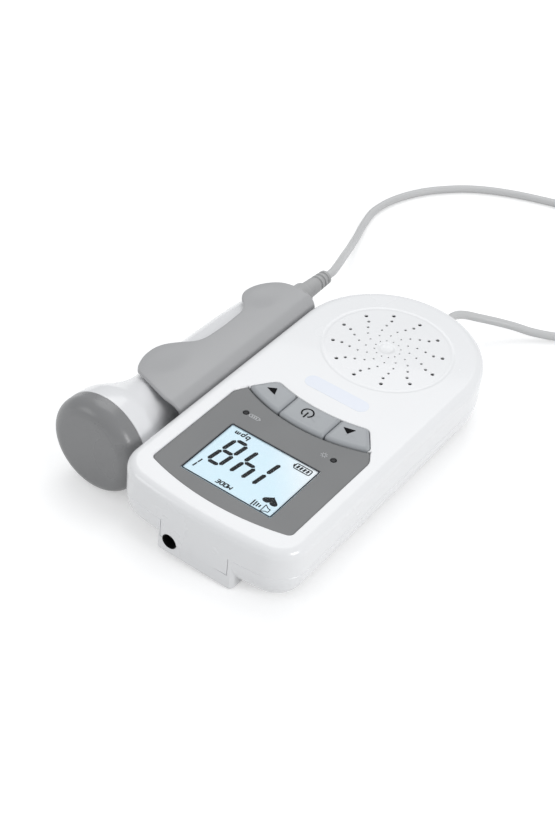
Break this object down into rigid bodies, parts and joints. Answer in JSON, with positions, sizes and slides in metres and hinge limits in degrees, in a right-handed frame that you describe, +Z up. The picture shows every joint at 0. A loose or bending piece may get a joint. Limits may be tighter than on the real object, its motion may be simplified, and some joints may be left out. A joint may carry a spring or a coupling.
{
  "type": "fetal doppler",
  "caption": "Hand-held ultrasound heartbeat listener: pill-shaped white casing with display, keys and loudspeaker, a trumpet-shaped probe held in a side clip, and its coiled cord",
  "frame": {"origin": "centre of the standing object's box at the table, without the free cord", "axes": "+Y runs along the casing from the display end to the loudspeaker end, +X across it away from the probe, +Z up from the table"},
  "size_m": [0.1282, 0.2629, 0.034],
  "materials": {
    "white_shell": "glossy moulded white",
    "clip_grey": "satin moulded grey",
    "cap_grey": "satin mid grey",
    "panel_grey": "smooth grey film",
    "key_grey": "satin light grey",
    "clear_lens": "clear polished",
    "lcd": "pale blue reflective display",
    "white_inner": "unpolished white",
    "silicone": "soft translucent",
    "circuit_board": "green solder mask",
    "chip_black": "matt black",
    "lamp_dark": "dark lens, unlit",
    "speaker_frame": "dark pressed steel",
    "cone_black": "black film",
    "magnet_metal": "plated steel cup",
    "foam": "soft foam ring",
    "cell_can": "plain printed sleeve",
    "spring_steel": "nickel plated",
    "screw_steel": "zinc plated",
    "socket_black": "moulded black",
    "soft_grey": "soft moulded grey",
    "foot_rubber": "matt black",
    "ceramic": "fired ceramic",
    "backing": "cast dark resin",
    "cord_grey": "satin light grey jacket",
    "tie_black": "matt black strap"
  },
  "bodies": {
    "casing": {"upper_casing": "white_shell", "lower_casing": "white_shell", "display_panel": "panel_grey", "display_window": "clear_lens", "lcd_glass": "lcd", "lcd_holder": "white_inner", "key_membrane": "silicone", "main_board": "circuit_board", "board_chips": "chip_black", "charge_lamp": "lamp_dark", "power_lamp": "lamp_dark", "speaker_basket": "speaker_frame", "speaker_cone": "cone_black", "speaker_magnet": "magnet_metal", "speaker_gasket": "foam", "battery_cells": "cell_can", "battery_contacts": "spring_steel", "battery_springs": "spring_steel", "dc_socket": "socket_black", "cord_grommet": "soft_grey", "casing_screws": "screw_steel", "rubber_feet": "foot_rubber", "probe_clip": "clip_grey", "clip_screws": "screw_steel", "probe_cord": "cord_grey", "cord_coil": "cord_grey", "coil_tie": "tie_black", "unit_cord": "cord_grey"},
    "battery_door": {"battery_door": "white_shell"},
    "left_key": {"left_key": "key_grey"},
    "power_key": {"power_key": "key_grey"},
    "right_key": {"right_key": "key_grey"},
    "probe": {"probe_handle": "white_shell", "probe_cap": "cap_grey", "crystal_discs": "ceramic", "backing_disc": "backing", "probe_board": "circuit_board", "probe_collar": "soft_grey", "probe_boot": "soft_grey"}
  },
  "joints": [
    {"name": "battery_door_slide", "type": "slide", "parent": "casing", "child": "battery_door", "axis": [0, 1, 0], "range_m": [0, 0.052]},
    {"name": "left_key_press", "type": "slide", "parent": "casing", "child": "left_key", "axis": [-0.0918, 0, -0.9958], "range_m": [0, 0.0008], "stiffness_N_per_m": 500, "springref_m": -0.0005},
    {"name": "power_key_press", "type": "slide", "parent": "casing", "child": "power_key", "axis": [-0.0918, 0, -0.9958], "range_m": [0, 0.0008], "stiffness_N_per_m": 500, "springref_m": -0.0005},
    {"name": "right_key_press", "type": "slide", "parent": "casing", "child": "right_key", "axis": [-0.0918, 0, -0.9958], "range_m": [0, 0.0008], "stiffness_N_per_m": 500, "springref_m": -0.0005},
    {"name": "probe_slide", "type": "slide", "parent": "casing", "child": "probe", "axis": [-0.0248, -0.9997, 0.0023], "range_m": [0, 0.14]}
  ]
}
